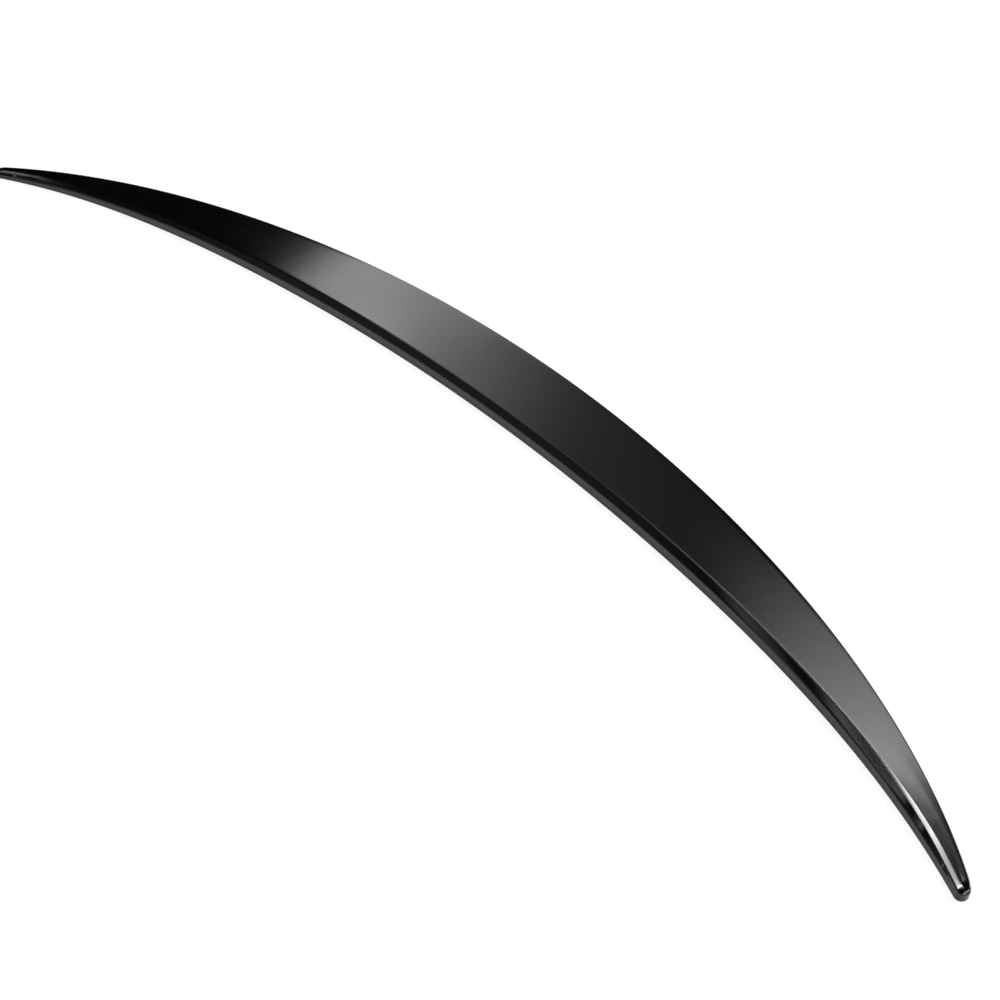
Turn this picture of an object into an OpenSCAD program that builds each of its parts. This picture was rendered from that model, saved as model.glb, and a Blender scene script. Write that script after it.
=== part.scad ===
// Lip spoiler for the rear edge of a car's boot lid, moulded in one piece.
// X runs across the car, +Y points rearward and +Z up. The whole lower rim lies
// in the plane z = 0. The origin is on that plane at mid-span, in the middle of
// the front bonding land.

/* [Outline] */
// Length across the car, from tip to tip
span = 1245; // [1000:1:1500]
// Distance from the leading to the trailing edge at mid-span
centre_depth = 73; // [60:0.5:110]
// Distance between the two edges where the tip starts to round off
tip_depth = 11; // [8:0.5:14]
// How far the tips lie ahead of the middle of the leading edge
sweep = 115.8; // [40:0.1:200]
// Share of the sweep that bends in late, close to the tips
late_sweep = 0.22; // [0:0.01:0.4]
// How far out the depth stays full before it tapers off
depth_fullness = 2.2; // [1.6:0.1:3]
// How bluntly the depth runs out at the tips, where a low value is blunter
depth_runout = 0.89; // [0.6:0.01:1]
// Length of the rounded end of each tip
tip_round = 7; // [5:0.5:14]
// Where the rounded tips close, as a share of the way to the trailing edge
tip_close = 0.9; // [0.5:0.01:0.92]

/* [Height] */
// Height of the trailing edge at mid-span
centre_height = 19; // [17:0.5:40]
// Height of the trailing edge at the tips
tip_height = 8.5; // [7:0.1:12]
// How long the trailing edge stays high before it drops to the tips
height_fullness = 1.6; // [1.4:0.05:3]

/* [Nose] */
// Height of the upright front wall at mid-span
front_wall_height = 7; // [4:0.1:8]
// Share of that height that is left at the tips
front_wall_at_tip = 0.5; // [0.4:0.01:0.7]
// How far the front wall leans back over its height
front_wall_lean = 1; // [0:0.1:2]
// Distance from the leading edge to the crease above the bevel, at mid-span
nose_depth = 7; // [5:0.1:12]
// Height at which the broad top face starts behind the crease, at mid-span
nose_height = 12; // [9.5:0.1:15]
// Share of the nose height that is left at the tips
nose_height_at_tip = 0.65; // [0.5:0.01:0.8]
// Share of the depth of the bevel that is left at the tips
bevel_depth_at_tip = 0.05; // [0.04:0.01:0.4]
// Width of the roll between the bevel and the broad top face, at mid-span
roll_width = 1.3; // [0.8:0.1:2]
// Width of that roll at the tips
roll_width_at_tip = 5; // [2:0.1:6]
// Slope of the roll in degrees, at mid-span
roll_slope = 23; // [18:1:26]
// Slope of the roll in degrees at the tips
roll_slope_at_tip = 16; // [12:1:20]

/* [Edges] */
// Radius of the two creases along the roll
crease_radius = 2.2; // [0.5:0.1:4]
// How high the top face is crowned ahead of the trailing edge at the tips
face_crown_at_tip = 0.15; // [0:0.05:0.5]
// Radius of the edge between the front wall and the bevel
front_edge_radius = 2; // [0.3:0.1:3]
// Radius of the trailing edge
trailing_edge_radius = 1.2; // [0.4:0.1:2]

/* [Rear face] */
// How far the foot of the rear face lies ahead of the trailing edge
rear_undercut = 6; // [2:0.5:12]
// Share of it that a section of no depth would keep
undercut_at_tip = 0.05; // [0:0.05:0.4]
// Depth of the shallow hollow in the rear face
rear_hollow = 0.9; // [0:0.1:2]

/* [Underside] */
// Thickness of the top skin over the pockets
skin = 2.8; // [2:0.1:4]
// Width of the bonding land behind the leading edge
front_land = 10; // [8:0.5:16]
// Width of the bonding land ahead of the foot of the rear face
rear_land = 7; // [4:0.5:10]
// Thickness of the ribs between the pockets
rib = 2.4; // [1.6:0.1:4]
// How far the ribs stop short of the bonding plane
rib_recess = 1.2; // [0.5:0.1:2]
// Width of the step between a land and the pockets
ledge = 1; // [0.6:0.1:2]
// Number of bays that the ribs divide the underside into
bay_count = 20; // [6:2:30]
// Length of the solid stretch inside each tip
solid_tip = 75; // [60:1:140]
// Draft of the pocket walls in degrees
pocket_draft = 1.5; // [0:0.5:3]

/* [Quality] */
// Number of sections along the span
section_count = 72; // [36:4:96]
// Number of straight steps in each rounded edge
edge_steps = 3; // [2:1:5]

/* [Hidden] */

half_span = span / 2;
round_start = half_span - tip_round;
// Share of the section's width that is left at the very end of a rounded tip
tip_flat = 0.2;
tip_steps = 6;
// How fast the top edge rolls down over the rounded tip
tip_roll = 0.35;
// Powers of the distance out at which the late sweep bends in, the nose gets
// lower, the bevel gets narrow, and the front turns into its shape at the tips
late_power = 6.5;
nose_power = 2.5;
bevel_power = 24;
tip_power = 8;
// The largest shares of a section's depth for the bevel and for the roll
bevel_limit = 0.25;
roll_limit = 0.4;
// Scales the crown's curve to a height of one
crown_scale = 27 / 4;
// The longest share of a flat that one rounded corner may take
corner_limit = 0.4;
// The highest share of the trailing height that the nose may reach
nose_limit = 0.88;
// Least rise of the bevel over the front wall
bevel_min_rise = 0.6;
// How far the cutting bodies reach below the bonding plane
cut_over = 1;
face_steps = 4;
rear_steps = 3;
pocket_half = half_span - solid_tip;
bay_pitch = 2 * pocket_half / bay_count;
relief_half = pocket_half - rib / 2 + ledge;
pocket_sections = 2;
relief_sections = 40;
// Room between the lands that a bay needs for one row of pockets, and for two
one_row_room = 5;
two_row_room = 26;

function lerp(a, b, k) = a + (b - a) * k;
function out(x) = min(1, abs(x) / half_span);

// Plan outline: the leading edge, and the depth behind it.
function lead_y(x) =
    -front_land / 2
    - sweep * ((1 - late_sweep) * pow(out(x), 2) + late_sweep * pow(out(x), late_power));
function depth(x) =
    lerp(tip_depth, centre_depth, pow(1 - pow(out(x), depth_fullness), depth_runout));

// Height of the trailing edge.
function height(x) = lerp(tip_height, centre_height, 1 - pow(out(x), height_fullness));

// The nose, from the broad top face forwards: the roll, the bevel and the wall.
// A v is a distance behind the leading edge and a z is a height.
function tip_share(x) = pow(out(x), tip_power);
function roll_reach(x) =
    min(lerp(roll_width, roll_width_at_tip, tip_share(x)), roll_limit * depth(x));
function roll_z(x) =
    min(nose_height * lerp(1, nose_height_at_tip, pow(out(x), nose_power)), nose_limit * height(x));
function crease_z(x) =
    roll_z(x) - roll_reach(x) * tan(lerp(roll_slope, roll_slope_at_tip, tip_share(x)));
function front_z(x) =
    min(front_wall_height * lerp(1, front_wall_at_tip, tip_share(x)), crease_z(x) - bevel_min_rise);
function front_v(x) = front_wall_lean * front_z(x) / front_wall_height;
function bevel_left(x) = pow(1 - pow(out(x), bevel_power), 2);
function crease_v(x) =
    front_v(x)
    + min((nose_depth - front_wall_lean) * lerp(bevel_depth_at_tip, 1, bevel_left(x)),
          bevel_limit * depth(x));
function roll_v(x) = crease_v(x) + roll_reach(x);

// Height of the broad top face at a distance v behind the leading edge.
function top_z(x, v) =
    roll_z(x) + (height(x) - roll_z(x)) * (v - roll_v(x)) / (depth(x) - roll_v(x));
function face_crown(x) = face_crown_at_tip * tip_share(x);

// How far the foot of the rear face is drawn in, less and less towards the tips.
function undercut(x) =
    rear_undercut * height(x) / centre_height * lerp(undercut_at_tip, 1, depth(x) / centre_depth);
function hollow(x) = rear_hollow * undercut(x) / rear_undercut;

// Width share and height share of a section in the rounded tip.
function round_share(x) = max(0, abs(x) - round_start) / tip_round;
function width_share(x) = max(tip_flat, sqrt(max(0, 1 - pow(round_share(x), 2))));
function rise_share(x) = pow(width_share(x), tip_roll);

// Points of an arc of radius r in the corner q between p and s.
function unit(p) = p / norm(p);
function corner_angle(p, q, s) = acos(unit(p - q) * unit(s - q));
function corner_reach(p, q, s, r) =
    min(r / tan(corner_angle(p, q, s) / 2), corner_limit * norm(p - q), corner_limit * norm(s - q));
function corner_arc(p, q, s, r) =
    let (reach = corner_reach(p, q, s, r))
    let (a = q + unit(p - q) * reach)
    let (b = q + unit(s - q) * reach)
    [for (i = [0:edge_steps]) let (k = i / edge_steps)
        pow(1 - k, 2) * a + 2 * k * (1 - k) * q + pow(k, 2) * b];

// The top face between the roll and the trailing edge, without its two ends. Its
// crown starts flush with the roll.
function top_face(a, b, crown) =
    [for (i = [1:face_steps - 1]) let (k = i / face_steps)
        [lerp(a[0], b[0], k), lerp(a[1], b[1], k) + crown * crown_scale * pow(k, 2) * (1 - k)]];

// The rear face from the trailing edge down to its foot, slightly hollow.
function rear_face(top, foot, hollow) =
    [for (i = [1:rear_steps]) let (k = i / rear_steps)
        [lerp(top[0], foot[0], k) - hollow * 4 * k * (1 - k), lerp(top[1], foot[1], k)]];

// Outer section at x as [distance behind the leading edge, height] pairs.
function section(x) =
    let (base = [0, 0])
    let (front = [front_v(x), front_z(x)])
    let (crease = [crease_v(x), crease_z(x)])
    let (roll = [roll_v(x), roll_z(x)])
    let (trail = [depth(x), height(x)])
    let (foot = [depth(x) - undercut(x), 0])
    let (roll_arc = corner_arc(crease, roll, trail, crease_radius))
    let (trail_arc = corner_arc(roll, trail, foot, trailing_edge_radius))
    concat(
        [base],
        corner_arc(base, front, crease, front_edge_radius),
        corner_arc(front, crease, roll, crease_radius),
        roll_arc,
        top_face(roll_arc[edge_steps], trail_arc[0], face_crown(x)),
        trail_arc,
        rear_face(trail_arc[edge_steps], foot, hollow(x))
    );

// The same section in space, drawn in towards one place in the rounded tip.
function placed_section(x) =
    let (middle = tip_close * (depth(x) - undercut(x)))
    [for (p = section(x))
        [x,
         lead_y(x) + lerp(middle, p[0], width_share(x)),
         p[1] <= front_z(x) ? p[1] : lerp(front_z(x), p[1], rise_share(x))]];

// Places of the sections: close together towards the tips, and closest in them.
body_x = [for (i = [0:section_count]) round_start * sin(lerp(-90, 90, i / section_count))];
tip_x = [for (i = [1:tip_steps]) round_start + tip_round * sin(90 * i / tip_steps)];
skin_x = concat([for (i = [tip_steps - 1:-1:0]) -tip_x[i]], body_x, tip_x);

// A closed body through sections of equal point count.
module loft(sections) {
    n = len(sections[0]);
    m = len(sections);
    sides = [for (i = [0:m - 2]) for (j = [0:n - 1]) for (half = [0:1])
        let (k = (j + 1) % n)
        half == 0
            ? [i * n + j, i * n + k, (i + 1) * n + k]
            : [i * n + j, (i + 1) * n + k, (i + 1) * n + j]];
    start = [for (j = [n - 1:-1:0]) j];
    end = [for (j = [0:n - 1]) (m - 1) * n + j];
    polyhedron(points = [for (s = sections) each s], faces = concat([start], sides, [end]));
}

// Where the rear land starts, and the width left for pockets between the lands.
function land_back(x) = depth(x) - undercut(x) - rear_land;
function pocket_room(x) = land_back(x) - front_land - 2 * ledge;
// The relief keeps at least the width of a ledge where the lands come close.
function relief_back(x) = max(land_back(x), front_land + ledge);

// Pocket section between two distances behind the leading edge, drafted to
// widen towards its mouth.
function pocket_section(x, v0, v1) =
    let (rise = top_z(x, v0) - skin)
    let (lean = tan(pocket_draft))
    [[x, lead_y(x) + v0 - lean * cut_over, -cut_over],
     [x, lead_y(x) + v0 + lean * rise, top_z(x, v0 + lean * rise) - skin],
     [x, lead_y(x) + v1 - lean * rise, top_z(x, v1 - lean * rise) - skin],
     [x, lead_y(x) + v1 + lean * cut_over, -cut_over]];

// One pocket of a bay: its row is counted from the front.
module pocket(x0, x1, row, rows) {
    loft([for (i = [0:pocket_sections])
        let (x = lerp(x0, x1, i / pocket_sections))
        let (room = (pocket_room(x) - (rows - 1) * rib) / rows)
        let (v0 = front_land + ledge + row * (room + rib))
        pocket_section(x, v0, v0 + room)]);
}

// The pockets side by side across the underside, in one row or two.
module pockets() {
    for (bay = [0:bay_count - 1]) {
        x0 = -pocket_half + bay * bay_pitch + rib / 2;
        x1 = x0 + bay_pitch - rib;
        narrow = min(pocket_room(x0), pocket_room(x1));
        rows = narrow > two_row_room ? 2 : narrow > one_row_room ? 1 : 0;
        for (row = [0:1:rows - 1]) pocket(x0, x1, row, rows);
    }
}

// The shallow relief that keeps the ribs clear of the bonding plane.
module relief() {
    loft([for (i = [0:relief_sections])
        let (x = lerp(-relief_half, relief_half, i / relief_sections))
        let (y = lead_y(x))
        [[x, y + front_land, -cut_over],
         [x, y + front_land, rib_recess],
         [x, y + relief_back(x), rib_recess],
         [x, y + relief_back(x), -cut_over]]]);
}

module spoiler() {
    color([0.05, 0.05, 0.06])
    difference() {
        loft([for (x = skin_x) placed_section(x)]);
        relief();
        pockets();
    }
}

spoiler();
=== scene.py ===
"""Boot lid lip spoiler in gloss black, dressed on its fixed frame and set in a plain studio."""

import logging
import math
from dataclasses import dataclass, field
from enum import Enum

import bpy
import numpy as np
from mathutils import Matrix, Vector


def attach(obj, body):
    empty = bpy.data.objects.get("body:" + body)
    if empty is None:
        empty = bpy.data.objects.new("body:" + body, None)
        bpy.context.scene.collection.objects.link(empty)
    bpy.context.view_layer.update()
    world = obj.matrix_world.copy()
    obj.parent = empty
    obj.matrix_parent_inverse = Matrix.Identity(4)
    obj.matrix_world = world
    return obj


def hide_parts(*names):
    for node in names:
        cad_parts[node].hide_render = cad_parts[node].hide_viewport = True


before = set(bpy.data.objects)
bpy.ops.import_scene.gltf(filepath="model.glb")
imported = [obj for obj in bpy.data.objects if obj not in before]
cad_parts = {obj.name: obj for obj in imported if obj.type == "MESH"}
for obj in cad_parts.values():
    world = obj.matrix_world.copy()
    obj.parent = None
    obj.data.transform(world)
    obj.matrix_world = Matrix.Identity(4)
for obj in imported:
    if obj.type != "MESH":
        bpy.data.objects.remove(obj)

log = logging.getLogger("spoiler")

Row = np.ndarray
Section = list[Row]
Colour = tuple[float, float, float]
Point = tuple[float, float, float]
Place = tuple[float, float]
Tree = bpy.types.NodeTree
Node = bpy.types.Node
Socket = bpy.types.NodeSocket

DUST_COLOUR: Colour = (0.32, 0.31, 0.30)
PARABOLA_SCALE = 4.0  # times k(1 - k), which then peaks at 1
HALF_TURN = 180.0
NODE_ROW = 260  # height of one row of nodes in the editor


class Surface(Enum):
    """Surfaces of the moulding, by the place of their finish on the mesh."""

    SHOW = 0
    UNDER = 1


def lerp(a: Row | float, b: Row | float, k: Row | float) -> Row | float:
    """Returns the value a share k of the way from a to b."""
    return a + (b - a) * k


def node_at(tree: Tree, kind: str, place: Place, label: str = "") -> Node:
    """Adds a node to a tree.

    Args:
        tree: The tree that gets the node.
        kind: Blender's name of the node type.
        place: Where it stands in the editor.
        label: What it does, in plain words.

    Returns:
        The new node.
    """
    node = tree.nodes.new(kind)
    node.location = place
    node.label = label
    return node


def math_node(
    tree: Tree,
    operation: str,
    first: Socket | float,
    second: Socket | float,
    place: Place,
    label: str = "",
) -> Socket:
    """Adds a Math node with its two inputs linked or set.

    Args:
        tree: The tree that gets the node.
        operation: The sum that it does.
        first: A socket to link, or a number.
        second: A socket to link, or a number.
        place: Where it stands in the editor.
        label: What it does, in plain words.

    Returns:
        The node's output socket.
    """
    node = node_at(tree, "ShaderNodeMath", place, label)
    node.operation = operation
    for socket, value in zip(node.inputs, (first, second)):
        if isinstance(value, Socket):
            tree.links.new(value, socket)
        else:
            socket.default_value = value
    return node.outputs[0]


class EffectGroups:
    """Shader node groups for the effects that both finishes share, each built once.

    The detail values are octaves of noise. A hairline shows where the noise lies above
    the lower of the two peak values, and is at its strongest from the upper one.
    """

    wave_detail: float = 1.0
    grain_detail: float = 3.0
    drift_detail: float = 4.0
    line_detail: float = 6.0
    line_unevenness: float = 0.7
    line_peaks: tuple[float, float] = (0.52, 0.75)

    def __init__(self) -> None:
        """Builds the three groups."""
        self.flow = self._build_flow()
        self.dust = self._build_dust()
        self.hairlines = self._build_hairlines()

    @staticmethod
    def _start(
        name: str, inputs: dict[str, float], output: str
    ) -> tuple[Tree, dict[str, Socket], Node]:
        """Makes an empty group with a Place input, its own values and one output.

        Args:
            name: Name of the group.
            inputs: Values by socket name, with their defaults.
            output: Name of the output value.

        Returns:
            The group, its input sockets by name, and its output node.
        """
        group = bpy.data.node_groups.new(name, "ShaderNodeTree")
        group.interface.new_socket("Place", in_out="INPUT", socket_type="NodeSocketVector")
        for label, value in inputs.items():
            socket = group.interface.new_socket(
                label, in_out="INPUT", socket_type="NodeSocketFloat"
            )
            socket.default_value = value
        group.interface.new_socket(output, in_out="OUTPUT", socket_type="NodeSocketFloat")
        source = node_at(group, "NodeGroupInput", (-900, 0))
        sink = node_at(group, "NodeGroupOutput", (600, 0))
        return group, {s.name: s for s in source.outputs}, sink

    def _build_flow(self) -> Tree:
        """Builds long soft waves of flowed paint with a fine grain on them.

        Returns:
            The group.
        """
        group, given, sink = self._start(
            "Flow And Grain",
            {"Wave Scale": 120.0, "Wave Depth": 1.0, "Grain Scale": 1800.0, "Grain Depth": 0.1},
            "Height",
        )
        waves = node_at(group, "ShaderNodeTexNoise", (-600, 200), "long waves")
        waves.inputs["Detail"].default_value = self.wave_detail
        grain = node_at(group, "ShaderNodeTexNoise", (-600, -200), "fine grain")
        grain.inputs["Detail"].default_value = self.grain_detail
        for texture, scale in ((waves, "Wave Scale"), (grain, "Grain Scale")):
            group.links.new(given["Place"], texture.inputs["Vector"])
            group.links.new(given[scale], texture.inputs["Scale"])
        wave = math_node(group, "MULTIPLY", waves.outputs[0], given["Wave Depth"], (-300, 200))
        fine = math_node(group, "MULTIPLY", grain.outputs[0], given["Grain Depth"], (-300, -200))
        group.links.new(math_node(group, "ADD", wave, fine, (0, 0)), sink.inputs["Height"])
        return group

    def _build_dust(self) -> Tree:
        """Builds sparse settled specks in loose drifts.

        Returns:
            The group.
        """
        group, given, sink = self._start(
            "Settled Dust",
            {"Speck Scale": 900.0, "Speck Size": 0.12, "Drift Scale": 9.0, "Cover": 0.5},
            "Mask",
        )
        specks = node_at(group, "ShaderNodeTexVoronoi", (-600, 200), "specks")
        drifts = node_at(group, "ShaderNodeTexNoise", (-600, -200), "drifts")
        drifts.inputs["Detail"].default_value = self.drift_detail
        for texture, scale in ((specks, "Speck Scale"), (drifts, "Drift Scale")):
            group.links.new(given["Place"], texture.inputs["Vector"])
            group.links.new(given[scale], texture.inputs["Scale"])
        distance = specks.outputs["Distance"]
        near = math_node(group, "DIVIDE", distance, given["Speck Size"], (-380, 200))
        speck = math_node(group, "SUBTRACT", 1.0, near, (-200, 200))
        speck.node.use_clamp = True
        drift = math_node(group, "MULTIPLY", drifts.outputs[0], given["Cover"], (-200, -200))
        mask = math_node(group, "MULTIPLY", speck, drift, (100, 0))
        group.links.new(mask, sink.inputs["Mask"])
        return group

    def _build_hairlines(self) -> Tree:
        """Builds faint wiping lines that run along the part.

        Returns:
            The group.
        """
        group, given, sink = self._start(
            "Wiping Hairlines", {"Line Scale": 14.0, "Stretch": 60.0, "Strength": 0.5}, "Mask"
        )
        pull = node_at(group, "ShaderNodeCombineXYZ", (-760, 120), "pull along the part")
        pull.inputs["X"].default_value = 1.0
        group.links.new(given["Stretch"], pull.inputs["Y"])
        group.links.new(given["Stretch"], pull.inputs["Z"])
        drawn = node_at(group, "ShaderNodeVectorMath", (-560, 120))
        drawn.operation = "MULTIPLY"
        group.links.new(given["Place"], drawn.inputs[0])
        group.links.new(pull.outputs[0], drawn.inputs[1])
        lines = node_at(group, "ShaderNodeTexNoise", (-360, 120), "drawn out lines")
        lines.inputs["Detail"].default_value = self.line_detail
        lines.inputs["Roughness"].default_value = self.line_unevenness
        group.links.new(drawn.outputs[0], lines.inputs["Vector"])
        group.links.new(given["Line Scale"], lines.inputs["Scale"])
        sharp = node_at(group, "ShaderNodeMapRange", (-120, 120), "keep the peaks")
        sharp.inputs["From Min"].default_value = self.line_peaks[0]
        sharp.inputs["From Max"].default_value = self.line_peaks[1]
        group.links.new(lines.outputs[0], sharp.inputs["Value"])
        mask = math_node(group, "MULTIPLY", sharp.outputs[0], given["Strength"], (200, 120))
        group.links.new(mask, sink.inputs["Mask"])
        return group


@dataclass(frozen=True)
class PlasticFinish:
    """One finish of the moulded plastic. Depths are in metres, scales in waves a metre."""

    name: str
    colour: Colour
    roughness: float
    wave_scale: float
    wave_depth: float
    grain_scale: float
    grain_depth: float
    dust_cover: float
    hairline_strength: float
    relief: float
    dust_colour: Colour = DUST_COLOUR
    ior: float = 1.5
    dust_roughness: float = 0.35
    hairline_roughness: float = 0.12
    dust_tint: float = 0.25

    def build(self, groups: EffectGroups) -> bpy.types.Material:
        """Makes the material with its shader and the shared effects.

        Args:
            groups: The shared effect groups.

        Returns:
            The new material.
        """
        material = bpy.data.materials.new(self.name)
        material.use_nodes = True
        tree = material.node_tree
        tree.nodes.clear()
        shader = node_at(tree, "ShaderNodeBsdfPrincipled", (500, 0))
        shader.inputs["Metallic"].default_value = 0.0
        shader.inputs["IOR"].default_value = self.ior
        result = node_at(tree, "ShaderNodeOutputMaterial", (800, 0))
        tree.links.new(shader.outputs[0], result.inputs["Surface"])
        place = node_at(tree, "ShaderNodeTexCoord", (-900, 0))

        def effect(group: Tree, where: Place, **values: float) -> Socket:
            """Places a shared group with this finish's values.

            Args:
                group: The shared group.
                where: Where its node stands in the editor.
                **values: Values by socket name, in lower case with underscores.

            Returns:
                The group's output socket.
            """
            node = node_at(tree, "ShaderNodeGroup", where, group.name)
            node.node_tree = group
            tree.links.new(place.outputs["Object"], node.inputs["Place"])
            for label, value in values.items():
                node.inputs[label.replace("_", " ").title()].default_value = value
            return node.outputs[0]

        height = effect(
            groups.flow, (-600, -300),
            wave_scale=self.wave_scale, wave_depth=self.wave_depth,
            grain_scale=self.grain_scale, grain_depth=self.grain_depth,
        )
        dust = effect(groups.dust, (-600, 0), cover=self.dust_cover)
        lines = effect(groups.hairlines, (-600, 300), strength=self.hairline_strength)

        tint = node_at(tree, "ShaderNodeMix", (100, 200), "dust over the colour")
        tint.data_type = "RGBA"
        tint.inputs["A"].default_value = (*self.colour, 1.0)
        tint.inputs["B"].default_value = (*self.dust_colour, 1.0)
        dusty = math_node(tree, "MULTIPLY", dust, self.dust_tint, (-200, 150))
        tree.links.new(dusty, tint.inputs["Factor"])
        tree.links.new(tint.outputs["Result"], shader.inputs["Base Color"])

        from_dust = math_node(tree, "MULTIPLY_ADD", dust, self.dust_roughness, (-200, 0))
        from_dust.node.inputs[2].default_value = self.roughness
        rough = math_node(tree, "MULTIPLY_ADD", lines, self.hairline_roughness, (60, 0))
        tree.links.new(from_dust, rough.node.inputs[2])
        tree.links.new(rough, shader.inputs["Roughness"])

        bump = node_at(tree, "ShaderNodeBump", (100, -300), "flow and grain")
        bump.inputs["Strength"].default_value = 1.0
        bump.inputs["Distance"].default_value = self.relief
        tree.links.new(height, bump.inputs["Height"])
        tree.links.new(bump.outputs["Normal"], shader.inputs["Normal"])
        return material


GLOSS_BLACK = PlasticFinish(
    name="gloss_black_show_face",
    colour=(0.0011, 0.0011, 0.0012),
    roughness=0.085,
    wave_scale=70.0,
    wave_depth=1.0,
    grain_scale=1500.0,
    grain_depth=0.02,
    dust_cover=0.2,
    hairline_strength=0.2,
    relief=0.000012,
)
MOULDED_BLACK = PlasticFinish(
    name="moulded_black_underside",
    colour=(0.012, 0.012, 0.013),
    roughness=0.42,
    wave_scale=160.0,
    wave_depth=0.3,
    grain_scale=2600.0,
    grain_depth=1.0,
    dust_cover=0.8,
    hairline_strength=0.3,
    relief=0.00003,
)


@dataclass
class SpoilerShape:
    """Outline, heights and section of the moulding. X runs across the car, +Y rearward."""

    span: float = 1.245
    centre_depth: float = 0.073
    tip_depth: float = 0.011
    sweep: float = 0.1158
    late_sweep: float = 0.22
    late_power: float = 6.5
    depth_fullness: float = 2.2
    depth_runout: float = 0.89
    tip_round: float = 0.007
    tip_close: float = 0.9
    tip_flat: float = 0.05
    tip_roll: float = 0.35
    centre_height: float = 0.019
    tip_height: float = 0.0085
    height_fullness: float = 1.6
    front_wall_height: float = 0.007
    front_wall_at_tip: float = 0.5
    front_wall_lean: float = 0.001
    nose_depth: float = 0.007
    nose_height: float = 0.012
    nose_power: float = 2.5
    nose_height_at_tip: float = 0.65
    nose_limit: float = 0.88
    bevel_depth_at_tip: float = 0.05
    bevel_power: float = 24.0
    bevel_limit: float = 0.25
    bevel_min_rise: float = 0.0006
    crease_radius: float = 0.0022
    roll_width: float = 0.0013
    roll_width_at_tip: float = 0.005
    roll_slope: float = 23.0
    roll_slope_at_tip: float = 16.0
    roll_limit: float = 0.4
    face_crown_at_tip: float = 0.00015
    crown_scale: float = 6.75
    tip_power: float = 8.0
    front_edge_radius: float = 0.002
    trailing_edge_radius: float = 0.0012
    rear_undercut: float = 0.006
    undercut_at_tip: float = 0.05
    rear_hollow: float = 0.0009
    front_land: float = 0.010
    arc_limit: float = 0.4

    @property
    def half_span(self) -> float:
        """Half the length across the car."""
        return self.span / 2

    @property
    def round_start(self) -> float:
        """Distance from mid-span at which the tips start to round off."""
        return self.half_span - self.tip_round

    def out(self, x: Row) -> Row:
        """Share of the way from mid-span to a tip."""
        return np.minimum(1.0, np.abs(x) / self.half_span)

    def lead_y(self, x: Row) -> Row:
        """Where the leading edge lies, along Y.

        Args:
            x: Places along the span.

        Returns:
            One value a place.
        """
        t = self.out(x)
        late = self.late_sweep * t**self.late_power
        return -self.front_land / 2 - self.sweep * ((1 - self.late_sweep) * t**2 + late)

    def depth(self, x: Row) -> Row:
        """Distance from the leading to the trailing edge."""
        fullness = (1 - self.out(x) ** self.depth_fullness) ** self.depth_runout
        return lerp(self.tip_depth, self.centre_depth, fullness)

    def height(self, x: Row) -> Row:
        """Height of the trailing edge."""
        return lerp(self.tip_height, self.centre_height, 1 - self.out(x) ** self.height_fullness)

    def tip_share(self, x: Row) -> Row:
        """Share of the way that the front has turned into its shape at the tips."""
        return self.out(x) ** self.tip_power

    def roll_reach(self, x: Row) -> Row:
        """Width of the roll between the bevel and the broad top face."""
        width = lerp(self.roll_width, self.roll_width_at_tip, self.tip_share(x))
        return np.minimum(width, self.roll_limit * self.depth(x))

    def roll_z(self, x: Row) -> Row:
        """Height at which the broad top face starts.

        Args:
            x: Places along the span.

        Returns:
            One height a place.
        """
        share = lerp(1.0, self.nose_height_at_tip, self.out(x) ** self.nose_power)
        nose = self.nose_height * share
        return np.minimum(nose, self.nose_limit * self.height(x))

    def crease_z(self, x: Row) -> Row:
        """Height of the crease above the bevel."""
        slope = np.radians(lerp(self.roll_slope, self.roll_slope_at_tip, self.tip_share(x)))
        return self.roll_z(x) - self.roll_reach(x) * np.tan(slope)

    def front_z(self, x: Row) -> Row:
        """Height of the front wall."""
        wall = self.front_wall_height * lerp(1.0, self.front_wall_at_tip, self.tip_share(x))
        return np.minimum(wall, self.crease_z(x) - self.bevel_min_rise)

    def front_v(self, x: Row) -> Row:
        """Distance from the leading edge to the top of the front wall."""
        return self.front_wall_lean * self.front_z(x) / self.front_wall_height

    def crease_v(self, x: Row) -> Row:
        """Distance from the leading edge to the crease.

        Args:
            x: Places along the span.

        Returns:
            One distance a place.
        """
        left = (1 - self.out(x) ** self.bevel_power) ** 2
        bevel = (self.nose_depth - self.front_wall_lean) * lerp(self.bevel_depth_at_tip, 1.0, left)
        return self.front_v(x) + np.minimum(bevel, self.bevel_limit * self.depth(x))

    def roll_v(self, x: Row) -> Row:
        """Distance from the leading edge to the broad top face."""
        return self.crease_v(x) + self.roll_reach(x)

    def face_crown(self, x: Row) -> Row:
        """How high the top face is crowned ahead of the trailing edge."""
        return self.face_crown_at_tip * self.tip_share(x)

    def top_z(self, x: Row, v: Row) -> Row:
        """Height of the broad top face at a distance v behind the leading edge."""
        rise = (self.height(x) - self.roll_z(x)) * (v - self.roll_v(x))
        return self.roll_z(x) + rise / (self.depth(x) - self.roll_v(x))

    def undercut(self, x: Row) -> Row:
        """How far the foot of the rear face lies ahead of the trailing edge."""
        share = lerp(self.undercut_at_tip, 1.0, self.depth(x) / self.centre_depth)
        return self.rear_undercut * self.height(x) / self.centre_height * share

    def hollow(self, x: Row) -> Row:
        """Depth of the shallow hollow in the rear face."""
        return self.rear_hollow * self.undercut(x) / self.rear_undercut

    def width_share(self, x: Row) -> Row:
        """Share of the section's width that is left in the rounded tips."""
        gone = np.maximum(0.0, np.abs(x) - self.round_start) / self.tip_round
        return np.maximum(self.tip_flat, np.sqrt(np.maximum(0.0, 1 - gone**2)))


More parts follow.
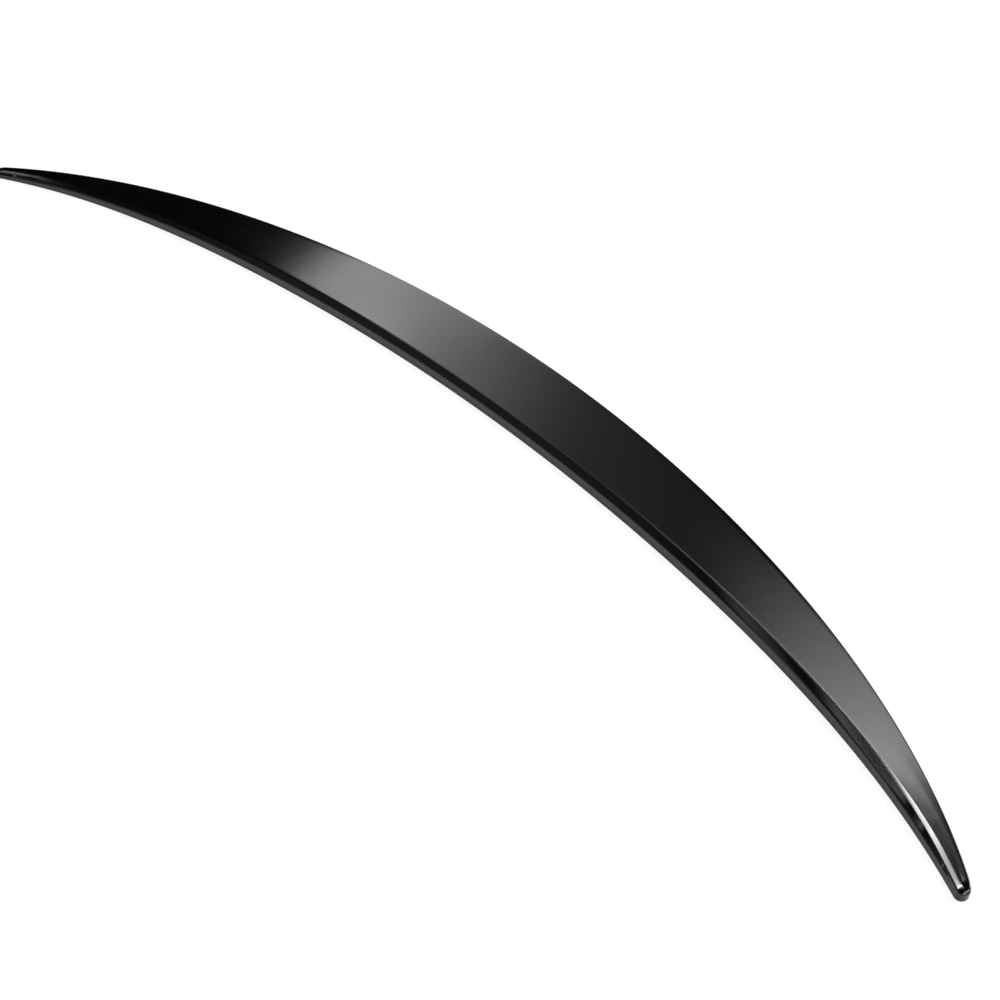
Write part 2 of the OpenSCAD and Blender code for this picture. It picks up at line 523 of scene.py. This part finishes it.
@dataclass
class ShowSkin:
    """The closed outer body of the moulding, as a grid of sections along the span."""

    shape: SpoilerShape
    stations: int = 520
    even_share: float = 0.6
    tip_steps: int = 18
    front_edge_steps: int = 8
    crease_steps: int = 5
    roll_steps: int = 5
    trailing_edge_steps: int = 8
    wall_steps: int = 3
    bevel_steps: int = 4
    face_steps: int = 14
    rear_steps: int = 8

    def station_x(self) -> Row:
        """Places of the sections, closer together towards the tips and closest in them.

        Returns:
            The places along the span, in order.
        """
        k = np.linspace(-1.0, 1.0, self.stations)
        spread = lerp(np.sin(k * math.pi / 2), k, self.even_share)
        body = self.shape.round_start * spread
        turn = np.linspace(0.0, math.pi / 2, self.tip_steps + 1)[1:]
        tip = self.shape.round_start + self.shape.tip_round * np.sin(turn)
        return np.concatenate([-tip[::-1], body, tip])

    def _straight(self, a: Row, b: Row, steps: int) -> Section:
        """Points between a and b, without the two ends.

        Args:
            a: Start, one point a station.
            b: End, one point a station.
            steps: Number of steps between them.

        Returns:
            The points in between.
        """
        return [lerp(a, b, i / steps) for i in range(1, steps)]

    def _arc(self, p: Row, q: Row, s: Row, radius: float, steps: int) -> Section:
        """Points of a rounded corner q between p and s.

        Args:
            p: Point before the corner.
            q: The corner.
            s: Point after the corner.
            radius: Radius of the rounding.
            steps: Number of steps in it.

        Returns:
            The points of the arc, ends included.
        """
        back, onward = p - q, s - q
        leg_back = np.linalg.norm(back, axis=1, keepdims=True)
        leg_ahead = np.linalg.norm(onward, axis=1, keepdims=True)
        back, onward = back / leg_back, onward / leg_ahead
        angle = np.arccos(np.clip((back * onward).sum(axis=1, keepdims=True), -1, 1))
        limit = self.shape.arc_limit * np.minimum(leg_back, leg_ahead)
        reach = np.minimum(radius / np.tan(angle / 2), limit)
        a, b = q + back * reach, q + onward * reach
        shares = [i / steps for i in range(steps + 1)]
        return [(1 - k) ** 2 * a + 2 * k * (1 - k) * q + k**2 * b for k in shares]

    def _crowned(self, a: Row, b: Row, crown: Row) -> Section:
        """Points of the top face without its two ends. Its crown starts flush with the roll.

        Args:
            a: Start, one point a station.
            b: End, one point a station.
            crown: Height of the crown, one value a station.

        Returns:
            The points in between.
        """
        points = self._straight(a, b, self.face_steps)
        for i, point in enumerate(points, start=1):
            k = i / self.face_steps
            point[:, 1] += crown * self.shape.crown_scale * k**2 * (1 - k)
        return points

    def _hollowed(self, a: Row, b: Row, depth: Row) -> Section:
        """Points of the rear face without its two ends, on a shallow hollow.

        Args:
            a: Start, one point a station.
            b: End, one point a station.
            depth: Depth of the hollow at its middle, one value a station.

        Returns:
            The points in between.
        """
        points = self._straight(a, b, self.rear_steps)
        for i, point in enumerate(points, start=1):
            k = i / self.rear_steps
            point[:, 0] -= depth * PARABOLA_SCALE * k * (1 - k)
        return points

    def section(self, x: Row) -> Row:
        """Outer section as distances behind the leading edge and heights.

        Args:
            x: Places of the sections.

        Returns:
            An array of stations, points and the two values.
        """
        shape = self.shape
        none = np.zeros_like(x)
        base = np.stack([none, none], 1)
        front = np.stack([shape.front_v(x), shape.front_z(x)], 1)
        crease = np.stack([shape.crease_v(x), shape.crease_z(x)], 1)
        roll = np.stack([shape.roll_v(x), shape.roll_z(x)], 1)
        trail = np.stack([shape.depth(x), shape.height(x)], 1)
        foot = np.stack([shape.depth(x) - shape.undercut(x), none], 1)
        front_arc = self._arc(base, front, crease, shape.front_edge_radius, self.front_edge_steps)
        crease_arc = self._arc(front, crease, roll, shape.crease_radius, self.crease_steps)
        roll_arc = self._arc(crease, roll, trail, shape.crease_radius, self.roll_steps)
        trail_arc = self._arc(
            roll, trail, foot, shape.trailing_edge_radius, self.trailing_edge_steps
        )
        points = (
            [base]
            + self._straight(base, front_arc[0], self.wall_steps)
            + front_arc
            + self._straight(front_arc[-1], crease_arc[0], self.bevel_steps)
            + crease_arc
            + roll_arc
            + self._crowned(roll_arc[-1], trail_arc[0], shape.face_crown(x))
            + trail_arc
            + self._hollowed(trail_arc[-1], foot, shape.hollow(x))
            + [foot]
        )
        return np.stack(points, 1)

    def build(self) -> bpy.types.Mesh:
        """Makes the closed outer body.

        Returns:
            The mesh, with every face on the show surface but the flat lower one.
        """
        shape, x = self.shape, self.station_x()
        section = self.section(x)
        width = shape.width_share(x)[:, None]
        rise = width**shape.tip_roll
        middle = (shape.tip_close * (shape.depth(x) - shape.undercut(x)))[:, None]
        wall = shape.front_z(x)[:, None]
        v, z = section[:, :, 0], section[:, :, 1]
        y = shape.lead_y(x)[:, None] + lerp(middle, v, width)
        z = np.where(z <= wall, z, lerp(wall, z, rise))
        across = np.broadcast_to(x[:, None], y.shape)
        points = np.stack([across, y, z], 2)
        return loft_mesh("show_skin", points, Surface.SHOW, lower_side=Surface.UNDER)


@dataclass
class UndersideRibbing:
    """The pockets and the shallow relief that are cut into the underside."""

    shape: SpoilerShape
    skin: float = 0.0028
    rear_land: float = 0.007
    rib: float = 0.0024
    rib_recess: float = 0.0012
    ledge: float = 0.001
    bay_count: int = 20
    solid_tip: float = 0.075
    pocket_draft: float = 1.5
    cut_over: float = 0.001
    one_row_room: float = 0.005
    two_row_room: float = 0.026
    bay_sections: int = 9
    relief_sections: int = 121
    corner_radius: float = 0.0008
    corner_steps: int = 3
    corner_angle: float = 50.0

    @property
    def pocket_half(self) -> float:
        """Distance from mid-span to the last rib."""
        return self.shape.half_span - self.solid_tip

    def land_back(self, x: Row) -> Row:
        """Where the rear land starts, behind the leading edge."""
        return self.shape.depth(x) - self.shape.undercut(x) - self.rear_land

    def room(self, x: Row) -> Row:
        """Width left for pockets between the lands."""
        return self.land_back(x) - self.shape.front_land - 2 * self.ledge

    def relief(self) -> bpy.types.Mesh:
        """Makes the body that keeps the ribs clear of the bonding plane.

        Returns:
            The body's mesh.
        """
        reach = self.pocket_half - self.rib / 2 + self.ledge
        x = np.linspace(-reach, reach, self.relief_sections)
        front = self.shape.lead_y(x) + self.shape.front_land
        furthest = np.maximum(self.land_back(x), self.shape.front_land + self.ledge)
        back = self.shape.lead_y(x) + furthest
        low, high = np.full_like(x, -self.cut_over), np.full_like(x, self.rib_recess)
        corners = [(front, low), (front, high), (back, high), (back, low)]
        points = np.stack([np.stack([x, y, z], 1) for y, z in corners], 1)
        return loft_mesh("relief", points, Surface.UNDER)

    def _pocket(self, x0: float, x1: float, row: int, rows: int) -> Row:
        """Points of one pocket body.

        Args:
            x0: Start of the bay.
            x1: End of the bay.
            row: Row of the pocket, counted from the front.
            rows: Number of rows in the bay.

        Returns:
            An array of sections, points and coordinates.
        """
        x = np.linspace(x0, x1, self.bay_sections)
        room = (self.room(x) - (rows - 1) * self.rib) / rows
        v0 = self.shape.front_land + self.ledge + row * (room + self.rib)
        v1 = v0 + room
        lean = math.tan(math.radians(self.pocket_draft))
        rise = self.shape.top_z(x, v0) - self.skin
        low = np.full_like(x, -self.cut_over)
        front, back = v0 + lean * rise, v1 - lean * rise
        corners = [
            (v0 - lean * self.cut_over, low),
            (front, self.shape.top_z(x, front) - self.skin),
            (back, self.shape.top_z(x, back) - self.skin),
            (v1 + lean * self.cut_over, low),
        ]
        return np.stack([np.stack([x, self.shape.lead_y(x) + v, z], 1) for v, z in corners], 1)

    def pockets(self) -> list[bpy.types.Mesh]:
        """Makes the pocket bodies, side by side across the underside in one row or two.

        Returns:
            One mesh a pocket.
        """
        pitch = 2 * self.pocket_half / self.bay_count
        made = []
        for bay in range(self.bay_count):
            x0 = -self.pocket_half + bay * pitch + self.rib / 2
            x1 = x0 + pitch - self.rib
            narrow = float(self.room(np.array([x0, x1])).min())
            rows = 2 if narrow > self.two_row_room else 1 if narrow > self.one_row_room else 0
            for row in range(rows):
                points = self._pocket(x0, x1, row, rows)
                made.append(loft_mesh(f"pocket_{bay}_{row}", points, Surface.UNDER))
        return made


def loft_mesh(
    name: str, points: Row, side: Surface, lower_side: Surface | None = None
) -> bpy.types.Mesh:
    """Makes a closed mesh through sections of equal point count.

    Args:
        name: Name of the mesh.
        points: Sections, points and coordinates.
        side: Surface of the sides and of the ends.
        lower_side: Surface of the strip between the last and the first point, if another.

    Returns:
        The mesh.
    """
    sections, count = points.shape[:2]
    faces, surfaces = [], []
    for i in range(sections - 1):
        for j in range(count):
            k = (j + 1) % count
            faces.append((i * count + j, (i + 1) * count + j, (i + 1) * count + k, i * count + k))
            surfaces.append(lower_side if lower_side and k == 0 else side)
    faces.append(tuple(range(count)))
    faces.append(tuple(sections * count - 1 - j for j in range(count)))
    surfaces += [side, side]
    mesh = bpy.data.meshes.new(name)
    mesh.from_pydata(points.reshape(-1, 3).tolist(), [], faces)
    mesh.polygons.foreach_set("material_index", [s.value for s in surfaces])
    mesh.update()
    return mesh


@dataclass
class LipSpoiler:
    """The whole moulding: outer body, ribbed underside and both finishes."""

    shape: SpoilerShape = field(default_factory=SpoilerShape)
    sharp_angle: float = 34.0
    piece_name: str = "spoiler_moulding"
    cad_node: str = "spoiler"
    body: str = "root"
    slot: str = "gloss_black"

    def _cut(
        self,
        piece: bpy.types.Object,
        cutters: list[bpy.types.Mesh],
        rounding: UndersideRibbing | None = None,
    ) -> None:
        """Cuts bodies that don't touch one another out of the piece.

        Args:
            piece: The object whose mesh is cut.
            cutters: Meshes of the bodies to take away.
            rounding: The ribbing that says how the cutters' corners are rounded, if they are.
        """
        tools = []
        for mesh in cutters:
            for material in piece.data.materials:
                mesh.materials.append(material)
            tool = bpy.data.objects.new(mesh.name, mesh)
            bpy.context.scene.collection.objects.link(tool)
            if rounding:
                corner = tool.modifiers.new("corner", "BEVEL")
                corner.width, corner.segments = rounding.corner_radius, rounding.corner_steps
                corner.limit_method = "ANGLE"
                corner.angle_limit = math.radians(rounding.corner_angle)
            tools.append(tool)
        group = bpy.data.collections.new("cutters")
        bpy.context.scene.collection.children.link(group)
        for tool in tools:
            group.objects.link(tool)
        cut = piece.modifiers.new("cut", "BOOLEAN")
        cut.operation = "DIFFERENCE"
        cut.solver = "EXACT"
        cut.operand_type = "COLLECTION"
        cut.collection = group
        cut.material_mode = "TRANSFER"
        bpy.context.view_layer.update()
        evaluated = piece.evaluated_get(bpy.context.evaluated_depsgraph_get())
        done = bpy.data.meshes.new_from_object(evaluated)
        piece.modifiers.clear()
        piece.data = done
        for tool in tools:
            bpy.data.objects.remove(tool)
        bpy.data.collections.remove(group)

    def build(self, finishes: dict[Surface, bpy.types.Material]) -> bpy.types.Object:
        """Makes the moulding and places it on the frame.

        Args:
            finishes: The material of each surface.

        Returns:
            The finished piece.
        """
        skin = ShowSkin(self.shape).build()
        for surface in Surface:
            skin.materials.append(finishes[surface])
        piece = bpy.data.objects.new(self.piece_name, skin)
        bpy.context.scene.collection.objects.link(piece)
        ribbing = UndersideRibbing(self.shape)
        self._cut(piece, [ribbing.relief()])
        self._cut(piece, ribbing.pockets(), ribbing)
        piece.data.name = self.piece_name
        piece.data.shade_smooth()
        piece.data.set_sharp_from_angle(angle=math.radians(self.sharp_angle))
        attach(piece, self.body)
        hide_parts(self.cad_node)
        return piece


@dataclass(frozen=True)
class SoftPanel:
    """A soft bright area of the studio around the part.

    Angles are in degrees, the azimuth from +Y to +X. The lean tells how much its
    edges rise for each degree of azimuth.
    """

    azimuth: float
    half_width: float
    side_fade: float
    low: float
    low_fade: float
    high: float
    high_fade: float
    strength: float
    lean: float = 0.0


PANEL_SOCKETS = ("half_width", "side_fade", "low", "low_fade", "high", "high_fade", "lean")


@dataclass(frozen=True)
class SoftLamp:
    """A square area lamp that faces the part.

    Angles are in degrees, the azimuth from +Y to +X. The level is what a white surface
    that faces the lamp sends back, where 1 is white.
    """

    name: str
    azimuth: float
    elevation: float
    distance: float
    size: float
    level: float

    def hang(self) -> bpy.types.Object:
        """Hangs the lamp above the part.

        Returns:
            Its object.
        """
        light = bpy.data.lights.new(self.name, "AREA")
        light.shape = "SQUARE"
        light.size = self.size
        # pi squared turns the watts of a small area lamp into what matt white sends back
        light.energy = self.level * math.pi**2 * self.distance**2
        lamp = bpy.data.objects.new(self.name, light)
        a, e = math.radians(self.azimuth), math.radians(self.elevation)
        towards = Vector((math.sin(a) * math.cos(e), math.cos(a) * math.cos(e), math.sin(e)))
        lamp.location = self.distance * towards
        lamp.rotation_euler = lamp.location.to_track_quat("Z", "Y").to_euler()
        bpy.context.scene.collection.objects.link(lamp)
        return lamp


@dataclass
class Studio:
    """Pale floor, soft surroundings, lamps and camera.

    The two shares say how much plain white is mixed into the lit floor, for the camera and
    for rays that are mirrored or refracted.
    """

    floor_half: float = 30.0
    floor_drop: float = 0.0004
    floor_colour: Colour = (0.93, 0.93, 0.93)
    floor_white_share: float = 0.8
    floor_mirrored_share: float = 0.3
    horizon: float = 0.10
    horizon_top: float = 23.4
    horizon_fade: float = 8.8
    panels: tuple[SoftPanel, ...] = (
        SoftPanel(-55.4, 7.8, 1.7, 33.3, 2.5, 24.9, 22.8, 5.52, -0.60),
        SoftPanel(-58.8, 26.5, 1.0, 59.9, 1.0, 57.5, 4.1, 15.51, -0.17),
        SoftPanel(-40.0, 14.7, 3.7, 67.5, 20.0, 57.0, 1.2, 11.37, -0.35),
        SoftPanel(-72.4, 14.8, 4.0, 69.6, 4.4, 70.3, 8.5, 26.09, 0.60),
        SoftPanel(-121.6, 21.6, 2.4, -2.0, 16.7, 37.4, 24.8, 0.20, -0.50),
        SoftPanel(-138.5, 7.4, 1.1, 5.4, 3.5, 24.5, 2.2, 0.57, -0.12),
        SoftPanel(-83.0, 20.3, 4.9, 54.2, 5.5, 46.9, 7.9, 7.78, -0.53),
        SoftPanel(-87.4, 12.9, 20.1, 48.8, 1.3, 39.7, 14.8, 6.61, -0.13),
        SoftPanel(-149.3, 20.3, 2.2, 37.8, 1.7, 34.7, 14.6, 2.41, -0.45),
        SoftPanel(-34.5, 2.1, 9.8, 50.1, 1.1, 59.1, 9.9, 0.70, 0.25),
        SoftPanel(-63.9, 10.0, 17.9, 41.5, 1.9, 57.6, 11.3, 0.31, -0.37),
        SoftPanel(-127.5, 16.6, 10.7, 19.8, 3.3, 16.3, 4.5, 4.89, -0.10),
        SoftPanel(-86.0, 3.5, 2.4, 61.4, 1.6, 61.8, 2.4, 8.68, -0.41),
        SoftPanel(120.0, 30.0, 20.0, 30.0, 12.0, 50.0, 12.0, 1.6),
        SoftPanel(45.0, 22.0, 18.0, 24.0, 10.0, 44.0, 12.0, 1.2),
    )
    lamps: tuple[SoftLamp, ...] = (
        SoftLamp("key_lamp", azimuth=25.0, elevation=42.0, distance=3.2, size=1.4, level=0.7),
        SoftLamp("fill_lamp", azimuth=95.0, elevation=55.0, distance=3.4, size=1.6, level=0.3),
    )
    camera_place: Point = (0.81790, -0.66469, 0.74536)
    camera_target: Point = (0.08500, -0.00982, -0.07936)
    lens: float = 52.143
    sensor: float = 36.0
    view_reach: float = 100.0

    def floor(self) -> bpy.types.Object:
        """Lays the pale floor.

        Returns:
            Its object.
        """
        half, z = self.floor_half, -self.floor_drop
        mesh = bpy.data.meshes.new("studio_floor")
        corners = [(-half, -half, z), (half, -half, z), (half, half, z), (-half, half, z)]
        mesh.from_pydata(corners, [], [(0, 1, 2, 3)])
        material = bpy.data.materials.new("pale_floor")
        material.use_nodes = True
        tree = material.node_tree
        tree.nodes.clear()
        matt = node_at(tree, "ShaderNodeBsdfDiffuse", (-200, 200), "lit paper")
        matt.inputs["Color"].default_value = (*self.floor_colour, 1.0)
        white = node_at(tree, "ShaderNodeEmission", (-200, 0), "white background")
        rays = node_at(tree, "ShaderNodeLightPath", (-900, -200))
        to_camera = rays.outputs["Is Camera Ray"]
        seen = math_node(tree, "MULTIPLY", to_camera, self.floor_white_share, (-650, 0))
        glossy, through = rays.outputs["Is Glossy Ray"], rays.outputs["Is Transmission Ray"]
        mirrored = math_node(tree, "MAXIMUM", glossy, through, (-650, -200))
        share = math_node(
            tree, "MULTIPLY_ADD", mirrored, self.floor_mirrored_share, (-400, -100), "white share"
        )
        tree.links.new(seen, share.node.inputs[2])
        mix = node_at(tree, "ShaderNodeMixShader", (100, 0))
        tree.links.new(share, mix.inputs["Fac"])
        tree.links.new(matt.outputs[0], mix.inputs[1])
        tree.links.new(white.outputs[0], mix.inputs[2])
        side = node_at(tree, "ShaderNodeNewGeometry", (100, 300))
        clear = node_at(tree, "ShaderNodeBsdfTransparent", (100, -200))
        from_below = node_at(tree, "ShaderNodeMixShader", (350, 0), "clear from below")
        result = node_at(tree, "ShaderNodeOutputMaterial", (550, 0))
        tree.links.new(side.outputs["Backfacing"], from_below.inputs["Fac"])
        tree.links.new(mix.outputs[0], from_below.inputs[1])
        tree.links.new(clear.outputs[0], from_below.inputs[2])
        tree.links.new(from_below.outputs[0], result.inputs["Surface"])
        mesh.materials.append(material)
        floor = bpy.data.objects.new("studio_floor", mesh)
        bpy.context.scene.collection.objects.link(floor)
        return floor

    @staticmethod
    def _panel_group() -> Tree:
        """Builds the group that masks one soft panel.

        Returns:
            The group.
        """
        group = bpy.data.node_groups.new("Soft Panel", "ShaderNodeTree")
        names = ["Azimuth", "Elevation", "Middle", "Half Width", "Side Fade"]
        names += ["Low", "Low Fade", "High", "High Fade", "Lean"]
        for label in names:
            group.interface.new_socket(label, in_out="INPUT", socket_type="NodeSocketFloat")
        group.interface.new_socket("Mask", in_out="OUTPUT", socket_type="NodeSocketFloat")
        given = {s.name: s for s in node_at(group, "NodeGroupInput", (-1200, 0)).outputs}
        sink = node_at(group, "NodeGroupOutput", (600, 0))

        def fade(value: Socket, zero: Socket, one: Socket, y: float) -> Socket:
            """Adds a smooth step from 0 at one socket's value to 1 at another's.

            Args:
                value: The socket that is looked at.
                zero: The socket whose value gives 0.
                one: The socket whose value gives 1.
                y: Height of the node in the editor.

            Returns:
                The step's output socket.
            """
            node = node_at(group, "ShaderNodeMapRange", (-200, y))
            node.interpolation_type = "SMOOTHSTEP"
            group.links.new(value, node.inputs["Value"])
            group.links.new(zero, node.inputs["From Min"])
            group.links.new(one, node.inputs["From Max"])
            return node.outputs[0]

        away = math_node(group, "SUBTRACT", given["Azimuth"], given["Middle"], (-1000, 300))
        turn = math_node(group, "WRAP", away, HALF_TURN, (-800, 300))
        turn.node.inputs[2].default_value = -HALF_TURN
        aside = math_node(group, "ABSOLUTE", turn, 0.0, (-600, 300))
        leant = math_node(group, "MULTIPLY", turn, given["Lean"], (-600, 450))
        raised = math_node(group, "SUBTRACT", given["Elevation"], leant, (-400, 450))
        side_end = math_node(group, "ADD", given["Half Width"], given["Side Fade"], (-600, 150))
        low_start = math_node(group, "SUBTRACT", given["Low"], given["Low Fade"], (-600, 0))
        high_end = math_node(group, "ADD", given["High"], given["High Fade"], (-600, -150))
        side = fade(aside, side_end, given["Half Width"], 300)
        low = fade(raised, low_start, given["Low"], 0)
        high = fade(raised, high_end, given["High"], -300)
        both = math_node(group, "MULTIPLY", low, high, (100, 0))
        group.links.new(math_node(group, "MULTIPLY", both, side, (300, 0)), sink.inputs["Mask"])
        return group

    def surroundings(self) -> bpy.types.World:
        """Builds the world: a pale horizon, a dark ceiling and the soft panels.

        The camera itself sees plain white in their place.

        Returns:
            The world.
        """
        world = bpy.data.worlds.new("studio_surroundings")
        world.use_nodes = True
        tree = world.node_tree
        tree.nodes.clear()
        where = node_at(tree, "ShaderNodeTexCoord", (-1800, 0))
        axes = node_at(tree, "ShaderNodeSeparateXYZ", (-1600, 0))
        tree.links.new(where.outputs["Generated"], axes.inputs[0])
        turned = math_node(tree, "ARCTAN2", axes.outputs["X"], axes.outputs["Y"], (-1400, 100))
        azimuth = math_node(tree, "DEGREES", turned, 0.0, (-1200, 100), "azimuth")
        raised = math_node(tree, "ARCSINE", axes.outputs["Z"], 0.0, (-1400, -100))
        elevation = math_node(tree, "DEGREES", raised, 0.0, (-1200, -100), "elevation")
        pale = node_at(tree, "ShaderNodeMapRange", (-900, 300), "pale horizon")
        pale.interpolation_type = "SMOOTHSTEP"
        pale.inputs["From Min"].default_value = self.horizon_top
        pale.inputs["From Max"].default_value = self.horizon_top + self.horizon_fade
        pale.inputs["To Min"].default_value = self.horizon
        pale.inputs["To Max"].default_value = 0.0
        tree.links.new(elevation, pale.inputs["Value"])
        total = pale.outputs[0]
        group = self._panel_group()
        for i, panel in enumerate(self.panels):
            row = -NODE_ROW * i
            mask = node_at(tree, "ShaderNodeGroup", (-700, row), "soft panel")
            mask.node_tree = group
            tree.links.new(azimuth, mask.inputs["Azimuth"])
            tree.links.new(elevation, mask.inputs["Elevation"])
            mask.inputs["Middle"].default_value = panel.azimuth
            for name in PANEL_SOCKETS:
                mask.inputs[name.replace("_", " ").title()].default_value = getattr(panel, name)
            lit = math_node(tree, "MULTIPLY_ADD", mask.outputs[0], panel.strength, (-400, row))
            tree.links.new(total, lit.node.inputs[2])
            total = lit
        rays = node_at(tree, "ShaderNodeLightPath", (-400, 300))
        to_camera = rays.outputs["Is Camera Ray"]
        seen = math_node(tree, "MAXIMUM", total, to_camera, (-200, 0), "white background")
        background = node_at(tree, "ShaderNodeBackground", (0, 0))
        background.inputs["Color"].default_value = (1.0, 1.0, 1.0, 1.0)
        tree.links.new(seen, background.inputs["Strength"])
        result = node_at(tree, "ShaderNodeOutputWorld", (200, 0))
        tree.links.new(background.outputs[0], result.inputs["Surface"])
        bpy.context.scene.world = world
        return world

    def camera(self) -> bpy.types.Object:
        """Sets the camera at the photograph's viewing angle.

        Returns:
            Its object.
        """
        data = bpy.data.cameras.new("camera")
        data.lens = self.lens
        data.sensor_width = self.sensor
        data.clip_end = self.view_reach
        camera = bpy.data.objects.new("camera", data)
        camera.location = self.camera_place
        sight = Vector(self.camera_target) - Vector(self.camera_place)
        camera.rotation_euler = sight.to_track_quat("-Z", "Y").to_euler()
        bpy.context.scene.collection.objects.link(camera)
        bpy.context.scene.camera = camera
        return camera

    def build(self) -> None:
        """Builds the floor, the surroundings, the lamps and the camera."""
        bpy.context.scene.view_settings.view_transform = "Standard"
        self.floor()
        self.surroundings()
        for lamp in self.lamps:
            lamp.hang()
        self.camera()


def main() -> None:
    """Builds the spoiler and its studio."""
    logging.basicConfig(level=logging.INFO, format="%(name)s: %(message)s")
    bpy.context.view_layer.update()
    groups = EffectGroups()
    finishes = {
        Surface.SHOW: GLOSS_BLACK.build(groups),
        Surface.UNDER: MOULDED_BLACK.build(groups),
    }
    piece = LipSpoiler().build(finishes)
    mesh = piece.data
    log.info("%s: %d vertices, %d faces", piece.name, len(mesh.vertices), len(mesh.polygons))
    Studio().build()


if __name__ == "__main__":
    main()
